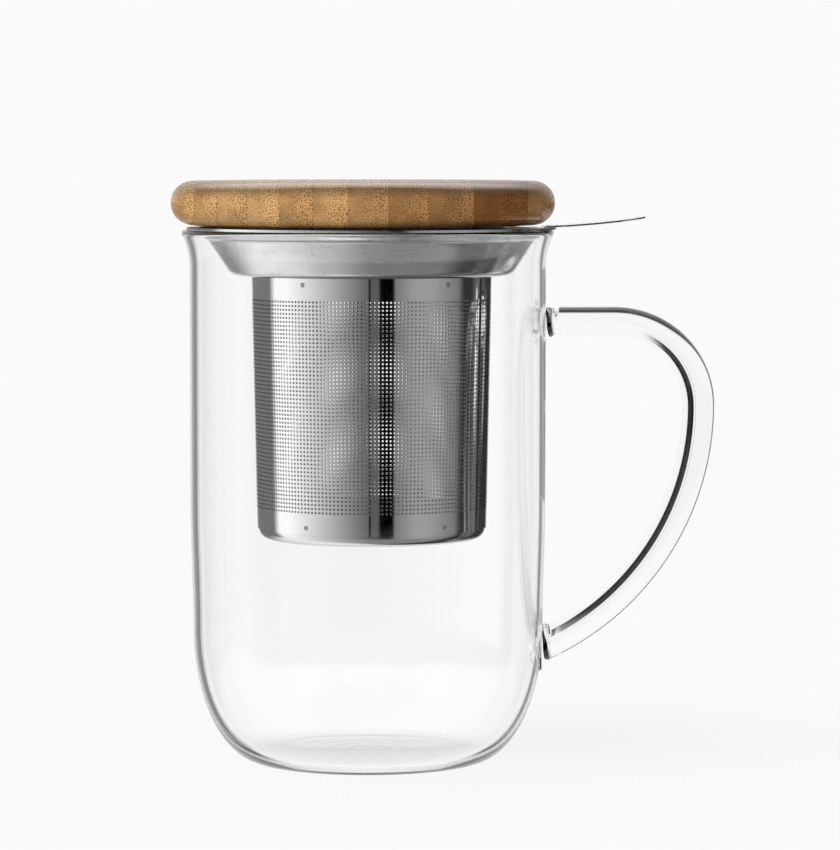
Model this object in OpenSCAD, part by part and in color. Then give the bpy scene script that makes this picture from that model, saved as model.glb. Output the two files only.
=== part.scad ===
// Glass tea mug with a hanging steel infuser and a laminated bamboo lid.
// Millimetres. The origin is the centre of the glass foot on the table,
// +Z points up, the handle points along +X.

/* [Glass] */
// Outside diameter of the straight glass wall
glass_d = 82; // [68:0.5:100]
// Height of the glass from the table to the top of its lip
glass_h = 123; // [100:0.5:150]
// Thickness of the glass wall
wall_t = 1.5; // [1.2:0.1:2]
// Thickness of the glass floor
floor_t = 2; // [1.5:0.1:4]
// How much narrower the glass is, on the radius, where its base starts to curve
wall_taper = 0.6; // [0:0.1:2]
// Height over which the wall narrows, above the curved base
wall_taper_h = 29; // [10:1:40]
// Height of the curved base
base_round_h = 31; // [20:0.5:40]
// How far the curved base runs in from the wall to the flat foot
base_round_w = 16; // [10:0.5:22]
// Height over which the mouth flares out
flare_h = 8; // [5:0.5:12]
// How far the lip stands out from the wall
flare_out = 1.85; // [1:0.05:3]

/* [Handle] */
// Height of the upper arm's centre line below the lip
handle_drop = 21.1; // [15:0.1:35]
// Height of the lower joint's centre above the table
handle_foot_h = 26.6; // [22:0.1:40]
// How far the handle's centre line stands out from the glass wall
handle_reach = 35.4; // [28:0.1:50]
// Radius of the upper bend, on the centre line
handle_bend_r = 19.5; // [10:0.5:25]
// Thickness of the handle, seen from the side
handle_t = 7.3; // [5:0.1:10]
// Width of the handle, seen end on
handle_w = 9; // [7:0.1:14]
// Radius along the handle's edges
handle_edge_r = 2.8; // [1:0.1:3.4]
// Radius of the fused pad where the handle meets the wall
pad_r = 5.2; // [4.2:0.1:8]
// Length over which the handle swells to that pad
pad_l = 4.5; // [2:0.1:8]
// How far the pads are sunk into the wall they are fused with
pad_sink = 1; // [0.8:0.05:1.1]

/* [Infuser collar] */
// How far the hanging infuser rests off the glass axis, towards the handle
infuser_shift = 0.9; // [-0.9:0.1:0.9]
// Sheet thickness of the collar
collar_t = 0.5; // [0.3:0.05:0.6]
// How far the flange reaches past the middle of the lip
flange_over = 0.5; // [0.3:0.05:1.5]
// Play between the lip and the collar's step, all round, where the step begins
step_play = 0.65; // [0.6:0.05:1.2]
// Depth of the step from the flange down to the ledge
step_h = 1.55; // [1:0.05:2]
// Width of that step
step_w = 1.7; // [1.2:0.1:3]
// Width of the ledge inside the step
ledge_w = 1.4; // [1:0.1:2]
// Fall of the ledge towards the funnel
ledge_fall = 0.5; // [0.2:0.1:1]
// Depth of the funnel, from the ledge to the collar's flat bottom
funnel_h = 8.5; // [6:0.5:14]
// How far the collar's bottom corner stands out past the sleeve
funnel_out = 4.6; // [3.5:0.1:6]
// Length of the neck that goes down inside the sleeve
neck_h = 4; // [3:0.5:8]
// Air under the flange and under the lid
seat_gap = 0.05; // [0.02:0.01:0.1]

/* [Infuser sleeve] */
// Room for tea between the glass wall and the top of the sleeve
sleeve_room = 11.8; // [9:0.1:16]
// How much narrower the sleeve's lower end is, on the radius
sleeve_narrow = 1.2; // [0:0.1:3]
// Length of the sleeve
sleeve_h = 58; // [40:1:66]
// Sheet thickness of the sleeve
sleeve_t = 0.3; // [0.2:0.05:0.4]
// Width of the lap seam down the sleeve
lap_w = 4; // [3:0.5:8]
// Where the lap seam is, in degrees round from the handle
lap_turn = -23; // [-30:1:-15]
// Air between the sleeve and what is welded inside it
weld_gap = 0.05; // [0.02:0.01:0.1]

/* [Infuser base] */
// Sheet thickness of the base cup
base_t = 0.5; // [0.3:0.05:0.6]
// Height of the base cup's skirt inside the sleeve
base_skirt_h = 4; // [3:0.5:8]
// How far the base cup shows below the sleeve
base_drop = 2.6; // [2.2:0.1:5]
// Outside radius of the base cup's corner
base_corner_r = 2.4; // [1:0.1:3]

/* [Spot welds] */
// Diameter of a weld nugget
weld_d = 1.1; // [0.8:0.1:1.5]
// Number of welds round each end of the sleeve
weld_n = 5; // [3:1:8]
// Distance of the weld's centre from the end of the sleeve
weld_in = 1.5; // [1:0.1:3]
// How far a nugget stands proud of the sheet
weld_proud = 0.03; // [0:0.01:0.1]

/* [Lifting tab] */
// Sheet thickness of the tab
tab_t = 0.4; // [0.3:0.05:0.6]
// Width of the tab
tab_w = 16; // [10:0.5:22]
// How far the tab reaches past the edge of the flange
tab_reach = 20.5; // [14:0.5:30]
// Angle at which the tab leaves the flange
tab_angle = 3; // [0:0.5:8]
// Radius of the tab's long upward curve
tab_curve_r = 230; // [100:10:400]
// Radius of the tab's two outer corners
tab_corner_r = 7; // [3:0.5:8]
// How far the tab's root runs down the funnel wall
tab_root_h = 5; // [3.5:0.5:7]
// How far each side of the root is set in from the tab's side
tab_root_in = 1; // [0.5:0.5:2]

/* [Lid] */
// How far the lid reaches past the lip
lid_over = 1.35; // [0.5:0.05:4]
// Thickness of the lid's disc
lid_t = 10.1; // [6:0.1:14]
// Radius round the lid's edge, top and bottom
lid_edge_r = 5; // [1:0.1:6]
// How far the loose lid rests off the glass axis, towards the handle
lid_shift = -1.1; // [-1.1:0.1:1.1]
// Depth of the turned boss that keeps the lid centred
boss_h = 4; // [2:0.5:6]
// Play between the boss and the tab's root, all round
boss_play = 2.5; // [2.1:0.1:4]
// Radius round the foot of the boss
boss_edge_r = 1.2; // [0.5:0.1:1.8]

/* [Hidden] */
$fn = 96;
BIG = 400;               // longer than anything here
ARC_STEP = 9;            // degrees between points on a drawn arc
// Relative widths of the lid's bamboo strips, left to right, and their tones
STRIP_SHARES = [6.4, 5.2, 6.9, 7.3, 7.5, 7.7, 8.8, 8.9, 10.1, 12.4, 7.1];
STRIP_TONES = ["burlywood", "burlywood", "burlywood", "burlywood", "tan", "burlywood",
               "tan", "peru", "peru", "sienna", "sienna"];
lid_strip_n = len(STRIP_SHARES);
function strip_name(i) = str("lid_strip_", i < 9 ? "0" : "", i + 1);

// Rounds at the collar's corners, on its outer face
flange_round = 1.2;
step_round = 1.3;
ledge_round = 1.6;
funnel_round = 3;
neck_round = 0.2;

// Glass
glass_r = glass_d / 2;
base_r = glass_r - wall_taper;
foot_r = base_r - base_round_w;
lip_r = wall_t / 2;
lip_z = glass_h - lip_r;                 // centre of the rounded lip
lip_at_r = glass_r - lip_r + flare_out;
flare_z = lip_z - flare_h;               // where the flare starts
flare_r = (flare_h * flare_h + flare_out * flare_out) / (2 * flare_out);
flare_angle = asin(flare_h / flare_r);
// Outside radius of the curved base at a height
function base_r_at(z) =
    foot_r + base_round_w * sqrt(1 - pow(max(base_round_h - z, 0) / base_round_h, 2));

// Handle: a straight arm, a bend, then one long arc back to the wall
handle_z = glass_h - handle_drop;
handle_x = glass_r + handle_reach;
bend_z = handle_z - handle_bend_r;
joint_r = base_r_at(handle_foot_h);
side_run = handle_x - joint_r;
side_fall = bend_z - handle_foot_h;
// The long arc's radius, to a whole micron so that both arcs meet on one face
side_r = round(1000 * (side_run * side_run + side_fall * side_fall) / (2 * side_run)) / 1000;
side_angle = atan2(side_fall, side_r - side_run);
arm_start_x = glass_r - pad_sink;
foot_start_x = joint_r - pad_sink;

// Collar: heights of its outer face, and radii from the infuser's axis
flange_z = glass_h + seat_gap;
flange_r = lip_at_r + flange_over;
step_top_r = lip_at_r - lip_r - step_play;
step_foot_r = step_top_r - step_w;
ledge_z = flange_z - step_h;
ledge_r = step_foot_r - ledge_w;
funnel_top_z = ledge_z - ledge_fall;
sleeve_z = funnel_top_z - funnel_h;      // the collar's flat bottom, on top of the sleeve
sleeve_top_r = glass_r - wall_t - sleeve_room;
sleeve_end_r = sleeve_top_r - sleeve_narrow;
funnel_foot_r = sleeve_top_r + funnel_out;
sleeve_taper = sleeve_narrow / sleeve_h;
neck_r = sleeve_top_r - sleeve_t - weld_gap - sleeve_taper * neck_h;
neck_end_z = sleeve_z - neck_h;
COLLAR_LINE = [
    [flange_r, flange_z, 0],
    [step_top_r, flange_z, flange_round],
    [step_foot_r, ledge_z, step_round],
    [ledge_r, funnel_top_z, ledge_round],
    [funnel_foot_r, sleeve_z, funnel_round],
    [neck_r, sleeve_z, neck_round],
    [neck_r, neck_end_z, 0]
];

// Sleeve and base cup
sleeve_top_z = sleeve_z - weld_gap;
sleeve_end_z = sleeve_top_z - sleeve_h;
base_cup_r = sleeve_end_r - sleeve_t - weld_gap;
base_z = sleeve_end_z - base_drop;
base_top_z = sleeve_end_z + base_skirt_h;
lap_angle = lap_w / sleeve_end_r * 180 / PI;
weld_start = 20;                         // turns the welds clear of the lap seam

// Tab, measured from the infuser's axis
funnel_slope = (ledge_r - funnel_foot_r) / funnel_h;
funnel_angle = atan(funnel_slope);
root_z = funnel_top_z - tab_root_h;
root_r = ledge_r - funnel_slope * tab_root_h;
root_angle = 2 * asin((tab_w / 2 - tab_root_in) / flange_r);
tab_lift = collar_t;                     // the tab lies on the collar's upper face
tab_start_r = (flange_r + step_top_r) / 2;
tab_bend_r = 12;
tab_end_x = flange_r + tab_reach;
tab_sweep = asin((tab_end_x - tab_start_r) / tab_curve_r);

// Lid
tab_top_z = flange_z + collar_t + tab_t;
lid_z = tab_top_z + 2 * seat_gap;
lid_r = lip_at_r + lip_r + lid_over;
lid_round = min(lid_edge_r, lid_t / 2);
boss_z = lid_z - boss_h;
funnel_r_at_boss = ledge_r - funnel_slope * (funnel_top_z - boss_z);
boss_r = funnel_r_at_boss - (collar_t + tab_t) / cos(funnel_angle) - boss_play;

// Helpers ------------------------------------------------------------------

function total(v, i = 0) = i < len(v) ? v[i] + total(v, i + 1) : 0;
function first(v, n) = [for (i = [0 : n - 1]) v[i]];
function backwards(v) = [for (i = [len(v) - 1 : -1 : 0]) v[i]];
function unit(v) = v / norm(v);
function flat(v) = [v[0], v[1]];

// Points along an arc, from angle a0 to a1 about c
function arc(c, r, a0, a1) =
    let (n = max(2, ceil(abs(a1 - a0) / ARC_STEP)))
    [for (i = [0 : n]) c + r * [cos(a0 + (a1 - a0) * i / n), sin(a0 + (a1 - a0) * i / n)]];

// Points along a quarter of an ellipse, from its lowest point up to its side
function ellipse_side(c, w, h, n) =
    [for (i = [0 : n]) c + [w * sin(90 * i / n), -h * cos(90 * i / n)]];

// One rounded corner at b, between a and c; r is the radius of the round
function corner(a, b, c, r) =
    r == 0 ? [b] :
    let (u = unit(a - b), v = unit(c - b))
    let (half = acos(u * v) / 2, middle = b + unit(u + v) * r / sin(half))
    let (p = b + u * r / tan(half) - middle, q = b + v * r / tan(half) - middle)
    let (a0 = atan2(p[1], p[0]), turn = atan2(p[0] * q[1] - p[1] * q[0], p * q))
    arc(middle, r, a0, a0 + turn);

// A line through [r, z, round] points, with its corners rounded
function rounded(line) = [
    for (i = [0 : len(line) - 1])
        let (before = flat(line[max(i - 1, 0)]), after = flat(line[min(i + 1, len(line) - 1)]))
        each corner(before, flat(line[i]), after, line[i][2])
];

// The same line moved by d to its right, looking along it
function moved(pts, d) = [
    for (i = [0 : len(pts) - 1])
        let (a = pts[max(i - 1, 0)], b = pts[i], c = pts[min(i + 1, len(pts) - 1)])
        let (u = i > 0 ? unit(b - a) : unit(c - b), v = i < len(pts) - 1 ? unit(c - b) : u)
        let (m = unit(u + v))
        b + d / (m * u) * [m[1], -m[0]]
];

// A strip of sheet along a line, from d0 to d1 to its right
module sheet(line, d0, d1) {
    pts = rounded(line);
    polygon(concat(moved(pts, d0), backwards(moved(pts, d1))));
}

// A rectangle with rounded corners, centred
module rounded_rect(w, h, r) {
    square([w - 2 * r, h], center = true);
    square([w, h - 2 * r], center = true);
    for (x = [-1, 1], y = [-1, 1])
        translate([x * (w / 2 - r), y * (h / 2 - r)]) circle(r = r);
}

// A disc standing on z = 0 with both rims rounded, as a half section
module disc_section(r, h, round) {
    square([r - round, h]);
    if (h > 2 * round) translate([0, round]) square([r, h - 2 * round]);
    for (z = [round, h - round])
        translate([r - round, z]) circle(r = round);
}

module at_infuser() {
    translate([infuser_shift, 0, 0]) children();
}

// Glass --------------------------------------------------------------------

// Outer line of the glass, from the foot's middle up to the lip
function glass_outside() = concat(
    [[0, 0]],
    ellipse_side([foot_r, base_round_h], base_round_w, base_round_h, 16),
    [[glass_r, base_round_h + wall_taper_h]],
    arc([glass_r + flare_r - lip_r, flare_z], flare_r - lip_r, 180, 180 - flare_angle)
);

// Inner line, from the lip down to the middle of the floor
function glass_inside() = backwards(concat(
    [[0, floor_t]],
    ellipse_side([foot_r, base_round_h], base_round_w - wall_t, base_round_h - floor_t, 16),
    [[glass_r - wall_t, base_round_h + wall_taper_h]],
    arc([glass_r + flare_r - lip_r, flare_z], flare_r + lip_r, 180, 180 - flare_angle)
));

module glass_cup() {
    lip = arc([lip_at_r, lip_z], lip_r, -flare_angle, 180 - flare_angle);
    color("lightcyan", 0.35) rotate_extrude()
        polygon(concat(glass_outside(), lip, glass_inside()));
}

// The swelling where the handle is fused to the wall, from inside the wall outwards.
// Its thin end is a little slimmer than the handle, so that it ends inside it.
module handle_pad() {
    thin_r = 0.9 * handle_t / 2;
    swell = pad_r - thin_r;
    steps = 5;
    side = [for (i = [0 : steps])
        [thin_r + swell * (1 - sin(90 * i / steps)), pad_sink + pad_l * (1 - cos(90 * i / steps))]];
    rotate([0, 90, 0]) rotate_extrude()
        polygon(concat([[0, 0], [pad_r, 0]], side, [[0, pad_sink + pad_l]]));
}

// An arc of the handle from its outermost point, up (1) or down (-1)
module handle_arc(r, angle, way) {
    translate([handle_x - r, 0, bend_z]) rotate([way * 90, 0, 0])
        rotate_extrude(angle = angle) translate([r, 0]) rounded_rect(handle_t, handle_w, handle_edge_r);
}

module glass_handle() {
    past_wall = 4;    // degrees the long arc runs on before its end is cut square
    color("lightcyan", 0.35) {
        translate([arm_start_x, 0, handle_z]) rotate([90, 0, 90])
            linear_extrude(handle_x - handle_bend_r - arm_start_x)
                rounded_rect(handle_w, handle_t, handle_edge_r);
        handle_arc(handle_bend_r, 90, 1);
        intersection() {
            handle_arc(side_r, side_angle + past_wall, -1);
            translate([foot_start_x, -handle_w, 0]) cube([BIG, 2 * handle_w, glass_h]);
        }
        translate([arm_start_x, 0, handle_z]) handle_pad();
        translate([foot_start_x, 0, handle_foot_h]) handle_pad();
    }
}

// Infuser ------------------------------------------------------------------

module infuser_collar() {
    color("silver") at_infuser() rotate_extrude() sheet(COLLAR_LINE, 0, collar_t);
}

// One rolled sheet; its outer end laps over the inner end as a raised strip.
// The sleeve's band of fine holes isn't cut here.
module infuser_sleeve() {
    line = [[sleeve_top_r, sleeve_top_z, 0], [sleeve_end_r, sleeve_end_z, 0]];
    color("silver") at_infuser() {
        rotate_extrude() sheet(line, 0, sleeve_t);
        rotate([0, 0, lap_turn - lap_angle / 2]) rotate_extrude(angle = lap_angle)
            sheet(line, -sleeve_t, sleeve_t / 2);
    }
}

module infuser_base() {
    line = [[base_cup_r, base_top_z, 0], [base_cup_r, base_z, base_corner_r], [0, base_z, 0]];
    color("silver") at_infuser() rotate_extrude() sheet(line, 0, base_t);
}

// The tab's root follows the collar; past the flange it runs out and curves up
module infuser_tab() {
    root_line = concat(first(COLLAR_LINE, 4), [[root_r, root_z, 0]]);
    color("gainsboro") at_infuser() {
        rotate([0, 0, -root_angle / 2]) rotate_extrude(angle = root_angle)
            sheet(root_line, tab_lift, tab_lift + tab_t);
        intersection() {
            translate([0, BIG / 2, 0]) rotate([90, 0, 0]) linear_extrude(BIG) tab_side();
            linear_extrude(BIG) tab_outline();
        }
    }
}

// The tab from the side, past the middle of the flange
module tab_side() {
    low = [tab_start_r, flange_z + tab_lift];
    bend = arc(low + [0, tab_bend_r], tab_bend_r, -90, -90 + tab_angle);
    bend_end = bend[len(bend) - 1];
    middle = bend_end + tab_curve_r * [-sin(tab_angle), cos(tab_angle)];
    curve = arc(middle, tab_curve_r, -90 + tab_angle, -90 + tab_angle + tab_sweep);
    under = concat(bend, [for (i = [1 : len(curve) - 1]) curve[i]]);
    polygon(concat(under, backwards(moved(under, -tab_t))));
}

// The tab from above
module tab_outline() {
    translate([tab_end_x / 2, 0]) rounded_rect(tab_end_x, tab_w, tab_corner_r);
}

// Nuggets that hold two sheets, their axis square to the sheet's outer face
module weld(sheets_t) {
    translate([0, 0, -sheets_t - weld_proud]) cylinder(d = weld_d, h = sheets_t + 2 * weld_proud);
}

module weld_ring(r, z, sheets_t) {
    for (k = [0 : weld_n - 1])
        rotate([0, 0, weld_start + 360 * k / weld_n]) translate([r, 0, z])
            rotate([0, 90, 0]) weld(sheets_t);
}

module collar_spot_welds() {
    r = sleeve_top_r - sleeve_taper * weld_in;
    color("darkgray") at_infuser()
        weld_ring(r, sleeve_top_z - weld_in, r - neck_r + collar_t);
}

module base_spot_welds() {
    r = sleeve_end_r + sleeve_taper * weld_in;
    color("darkgray") at_infuser()
        weld_ring(r, sleeve_end_z + weld_in, r - base_cup_r + base_t);
}

module tab_spot_welds() {
    weld_drop = (tab_root_h + ledge_round) / 2;  // halfway down the root's flat part
    color("darkgray") at_infuser() for (side = [-1, 1])
        rotate([0, 0, side * root_angle / 4])
            translate([ledge_r - funnel_slope * weld_drop, 0, funnel_top_z - weld_drop])
                rotate([0, 90 + funnel_angle, 0]) weld(collar_t + tab_t);
}

// Lid ----------------------------------------------------------------------

module lid_blank() {
    translate([lid_shift, 0, 0]) rotate_extrude() {
        translate([0, lid_z]) disc_section(lid_r, lid_t, lid_round);
        translate([0, boss_z]) disc_section(boss_r, boss_h + lid_round, boss_edge_r);
    }
}

// One strip of the board that the lid is turned from, its grain along Y
module lid_strip(i) {
    share = 2 * lid_r / total(STRIP_SHARES);
    x0 = i == 0 ? -BIG : total(first(STRIP_SHARES, i)) * share - lid_r;
    x1 = i == lid_strip_n - 1 ? BIG : total(first(STRIP_SHARES, i + 1)) * share - lid_r;
    color(STRIP_TONES[i]) intersection() {
        lid_blank();
        translate([lid_shift + x0, -BIG / 2, 0]) cube([x1 - x0, BIG, BIG]);
    }
}

glass_cup();
glass_handle();
infuser_collar();
infuser_sleeve();
infuser_base();
infuser_tab();
collar_spot_welds();
base_spot_welds();
tab_spot_welds();
for (i = [0 : lid_strip_n - 1])
    lid_strip(i);
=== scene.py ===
import math

import bmesh
import bpy
from bpy.props import FloatProperty, FloatVectorProperty, IntProperty, PointerProperty
from bpy.types import Operator, Panel, PropertyGroup
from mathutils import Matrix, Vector


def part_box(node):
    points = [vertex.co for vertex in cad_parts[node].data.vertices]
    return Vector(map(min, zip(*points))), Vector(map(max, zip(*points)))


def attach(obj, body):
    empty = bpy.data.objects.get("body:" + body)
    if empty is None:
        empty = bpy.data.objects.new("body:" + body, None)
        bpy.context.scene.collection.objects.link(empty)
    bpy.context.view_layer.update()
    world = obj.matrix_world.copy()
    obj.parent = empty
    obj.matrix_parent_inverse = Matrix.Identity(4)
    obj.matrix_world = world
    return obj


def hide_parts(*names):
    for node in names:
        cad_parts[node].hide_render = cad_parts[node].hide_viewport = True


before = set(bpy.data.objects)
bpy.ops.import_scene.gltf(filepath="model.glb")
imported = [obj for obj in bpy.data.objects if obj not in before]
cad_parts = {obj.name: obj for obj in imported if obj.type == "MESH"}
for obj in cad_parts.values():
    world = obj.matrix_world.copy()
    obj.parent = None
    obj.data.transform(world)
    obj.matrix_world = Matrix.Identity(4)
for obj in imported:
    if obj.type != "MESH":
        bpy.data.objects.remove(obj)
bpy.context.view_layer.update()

bl_info = {
    "name": "Glass tea mug",
    "version": (1, 0, 0),
    "blender": (4, 5, 0),
    "location": "3D View > Sidebar > Tea mug",
    "description": "Glass mug with a hanging perforated infuser and a bamboo lid",
    "category": "Object",
}

MM = 0.001

# Places from the frame, in metres -------------------------------------------

_, cup_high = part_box("glass_cup")
_, handle_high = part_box("glass_handle")
collar_low, collar_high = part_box("infuser_collar")
sleeve_low, sleeve_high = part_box("infuser_sleeve")
base_low, base_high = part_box("infuser_base")
_, tab_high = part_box("infuser_tab")
LID_STRIPS = sorted(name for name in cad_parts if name.startswith("lid_strip_"))
lid_middle = sum(corner.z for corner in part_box(LID_STRIPS[0])) / 2
INFUSER_X = (collar_low.x + collar_high.x) / 2
AT_INFUSER = Vector((INFUSER_X, 0, 0))


# Settings -------------------------------------------------------------------

def length(name, description, default, high=1.0):
    return FloatProperty(name=name, description=description, default=default,
                         min=0.0, max=high, unit="LENGTH", precision=5)


def angle(name, description, degrees):
    return FloatProperty(name=name, description=description, default=math.radians(degrees),
                         subtype="ANGLE")


def colour(name, description, default):
    return FloatVectorProperty(name=name, description=description, default=default,
                               size=3, min=0.0, max=1.0, subtype="COLOR")


def count(name, description, default, low=1):
    return IntProperty(name=name, description=description, default=default, min=low)


class GlassSettings(PropertyGroup):
    wall: length("Wall", "Thickness of the glass wall", 1.5 * MM)
    floor: length("Floor", "Thickness of the glass floor", 2 * MM)
    taper: length("Taper", "How much narrower the glass is where its base starts to curve", 0.6 * MM)
    taper_height: length("Taper height", "Height over which the wall narrows", 29 * MM)
    round_height: length("Base height", "Height of the curved base", 31 * MM)
    round_width: length("Base width", "How far the curved base runs in to the flat foot", 16 * MM)
    flare_height: length("Flare height", "Height over which the mouth flares out", 8 * MM)
    flare_out: length("Flare", "How far the lip stands out from the wall", 1.85 * MM)
    kick: length("Kick", "Hollow under the foot", 0.35 * MM)
    ripple: length("Ripple", "Depth of the rings that blowing leaves in the floor", 0.014 * MM)
    ripple_pitch: length("Ripple pitch", "Distance between those rings", 4.2 * MM)
    handle_thickness: length("Handle thickness", "Thickness of the handle, from the side", 7.3 * MM)
    arm_thickness: length("Arm thickness", "Thickness of the handle's upper arm", 6.4 * MM)
    handle_width: length("Handle width", "Width of the handle, end on", 9 * MM)
    arm_drop: length("Arm drop", "Height of the lip above the middle of the arm", 21.1 * MM)
    bend_radius: length("Bend", "Radius of the handle's upper bend", 19.5 * MM)
    foot_height: length("Lower joint", "Height of the handle's lower joint", 26.6 * MM)
    pad: length("Pad", "How far the handle swells where it is fused to the wall", 2.4 * MM)
    pad_length: length("Pad length", "Length of that swelling", 4.5 * MM)
    dent: length("Bulge", "How far the wall bulges inwards behind each pad", 1.5 * MM)
    dent_radius: length("Bulge radius", "Radius of that bulge", 4.4 * MM)
    waist: length("Waist", "Depth of the groove round the handle just off each pad", 0.25 * MM)
    waist_from_wall: length("Waist place", "Distance of that groove from the wall", 1.9 * MM)


class InfuserSettings(PropertyGroup):
    columns: count("Columns", "Columns of holes round the sleeve", 183, 12)
    rows: count("Rows", "Rows of holes down the sleeve", 53, 2)
    hole: length("Hole", "Diameter of a hole", 0.55 * MM)
    first_row: length("First row", "Height of the highest row of holes", 107.1 * MM)
    last_row: length("Last row", "Height of the lowest row of holes", 59.5 * MM)
    sheet: length("Sleeve sheet", "Thickness of the sleeve's sheet", 0.3 * MM)
    top_radius: length("Sleeve radius", "Radius of the sleeve's upper end", 27.7 * MM)
    narrow: length("Narrowing", "How much narrower the lower end is, on the radius", 1.2 * MM)
    seam_turn: angle("Seam", "Where the lap seam is, round from the handle", -23)
    seam_columns: count("Seam columns", "Columns of holes under the lap", 4)
    collar_sheet: length("Collar sheet", "Thickness of the collar's sheet", 0.5 * MM)
    base_sheet: length("Base sheet", "Thickness of the base cup's sheet", 0.5 * MM)
    base_corner: length("Base corner", "Radius of the base cup's corner", 2.4 * MM)
    base_field: length("Base holes", "Radius of the field of holes in the base", 21.5 * MM)
    tab_sheet: length("Tab sheet", "Thickness of the lifting tab", 0.4 * MM)
    tab_width: length("Tab width", "Width of the lifting tab", 16 * MM)
    tab_corner: length("Tab corner", "Radius of the tab's outer corners", 7 * MM)
    weld: length("Weld", "Diameter of a spot weld", 1.1 * MM)
    welds: count("Welds", "Welds round each end of the sleeve", 5, 2)
    first_weld: angle("First weld", "Where the first weld is, round from the handle", 20)


class LidSettings(PropertyGroup):
    light: colour("Light bamboo", "Tone of the lightest strip", (0.46, 0.265, 0.105))
    dark: colour("Dark bamboo", "Tone of the darkest strip", (0.20, 0.08, 0.02))
    bundles: FloatProperty(name="Fibre bundles", description="Fibre bundles on a millimetre of end grain",
                           default=1.7, min=0.1)


class StudioSettings(PropertyGroup):
    backdrop: colour("Backdrop", "Colour of the backdrop and the floor", (0.956, 0.956, 0.956))
    floor_radius: length("Floor", "Radius of the floor", 0.9, 10)
    camera_distance: length("Camera distance", "How far in front of the mug it stands", 0.9711, 10)
    camera_height: length("Camera height", "Height of the camera above the table", 0.1426)
    camera_down: angle("Camera tilt", "How far the camera looks down", 3.817)
    camera_turn: angle("Camera turn", "How far the camera turns towards the handle", 0.71)
    lens: FloatProperty(name="Lens", description="Focal length, in millimetres", default=178.4, min=1.0)
    key_light: FloatProperty(name="Key light", description="Strength of the light", default=1.9, min=0.0)
    key_size: angle("Key light size", "How wide the light is, seen from the mug", 50)


# Mesh helpers ---------------------------------------------------------------

CORNER_STEPS = 10
ON_AXIS = 1e-9
SAME_PLACE = 1e-7


def ease(value, low, high):
    """0 below low, 1 above high, and a smooth step between them."""
    share = min(max((value - low) / (high - low), 0), 1)
    return share * share * (3 - 2 * share)


def arc(centre, radius, start, end, steps):
    """Points along an arc in a plane, angles in degrees."""
    turns = [math.radians(start + (end - start) * i / steps) for i in range(steps + 1)]
    return [(centre[0] + radius * math.cos(a), centre[1] + radius * math.sin(a)) for a in turns]


def rounded_line(line):
    """A line through (radius, height, round) points, its corners rounded."""
    points = [line[0][:2]]
    for before, (x, y, radius), after in zip(line, line[1:], line[2:]):
        at = Vector((x, y))
        u = (Vector(before[:2]) - at).normalized()
        v = (Vector(after[:2]) - at).normalized()
        half = u.angle(v) / 2
        middle = at + (u + v).normalized() * radius / math.sin(half)
        p = at + u * radius / math.tan(half) - middle
        q = at + v * radius / math.tan(half) - middle
        start = math.degrees(math.atan2(p.y, p.x))
        turn = math.degrees(math.atan2(p.x * q.y - p.y * q.x, p.dot(q)))
        points += arc(middle, radius, start, start + turn, CORNER_STEPS)
    return points + [line[-1][:2]]


def beside(line, distance):
    """The same line, moved to its right by a distance."""
    moved = []
    for i, at in enumerate(line):
        u = (Vector(at) - Vector(line[i - 1])).normalized() if i > 0 else None
        v = (Vector(line[i + 1]) - Vector(at)).normalized() if i < len(line) - 1 else u
        u = u or v
        m = (u + v).normalized()
        reach = distance / m.dot(u)
        moved.append((at[0] + m.y * reach, at[1] - m.x * reach))
    return moved


def lathe(profile, segments, closed=False, centre_x=0.0):
    """Vertices and faces of a profile of (radius, height) turned about the vertical axis."""
    turns = [2 * math.pi * i / segments for i in range(segments)]
    vertices, rings = [], []
    for radius, height in profile:
        if radius < ON_AXIS:
            rings.append([len(vertices)] * segments)
            vertices.append((centre_x, 0.0, height))
        else:
            rings.append(list(range(len(vertices), len(vertices) + segments)))
            vertices += [(centre_x + radius * math.cos(a), radius * math.sin(a), height) for a in turns]
    pairs = list(zip(rings, rings[1:])) + ([(rings[-1], rings[0])] if closed else [])
    faces = []
    for lower, upper in pairs:
        for i in range(segments):
            j = (i + 1) % segments
            faces.append(list(dict.fromkeys([lower[i], lower[j], upper[j], upper[i]])))
    return vertices, faces


def grid_faces(rows, columns, wrap=False):
    """Faces between the rows of a grid of vertices."""
    faces = []
    for i in range(0, (rows - 1) * columns, columns):
        for k in range(columns if wrap else columns - 1):
            j = (k + 1) % columns
            faces.append((i + k, i + j, i + columns + j, i + columns + k))
    return faces


def new_mesh(name, vertices, faces):
    mesh = bpy.data.meshes.new(name)
    mesh.from_pydata(vertices, [], faces)
    return mesh


def new_object(name, data):
    piece = bpy.data.objects.new(name, data)
    bpy.context.scene.collection.objects.link(piece)
    return piece


def finished(name, mesh, material, sharp=40):
    """A smooth object with its faces turned outwards; edges sharper than an angle stay sharp."""
    work = bmesh.new()
    work.from_mesh(mesh)
    bmesh.ops.remove_doubles(work, verts=work.verts, dist=SAME_PLACE)
    bmesh.ops.recalc_face_normals(work, faces=work.faces)
    work.to_mesh(mesh)
    work.free()
    mesh.shade_smooth()
    if sharp:
        mesh.set_sharp_from_angle(angle=math.radians(sharp))
    mesh.materials.clear()
    mesh.materials.append(material)
    mesh.name = name
    return new_object(name, mesh)


def applied(piece):
    """The piece's evaluated mesh, with the piece itself removed."""
    bpy.context.view_layer.update()
    graph = bpy.context.evaluated_depsgraph_get()
    mesh = bpy.data.meshes.new_from_object(piece.evaluated_get(graph), depsgraph=graph)
    piece.modifiers.clear()
    bpy.data.objects.remove(piece)
    return mesh


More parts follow.
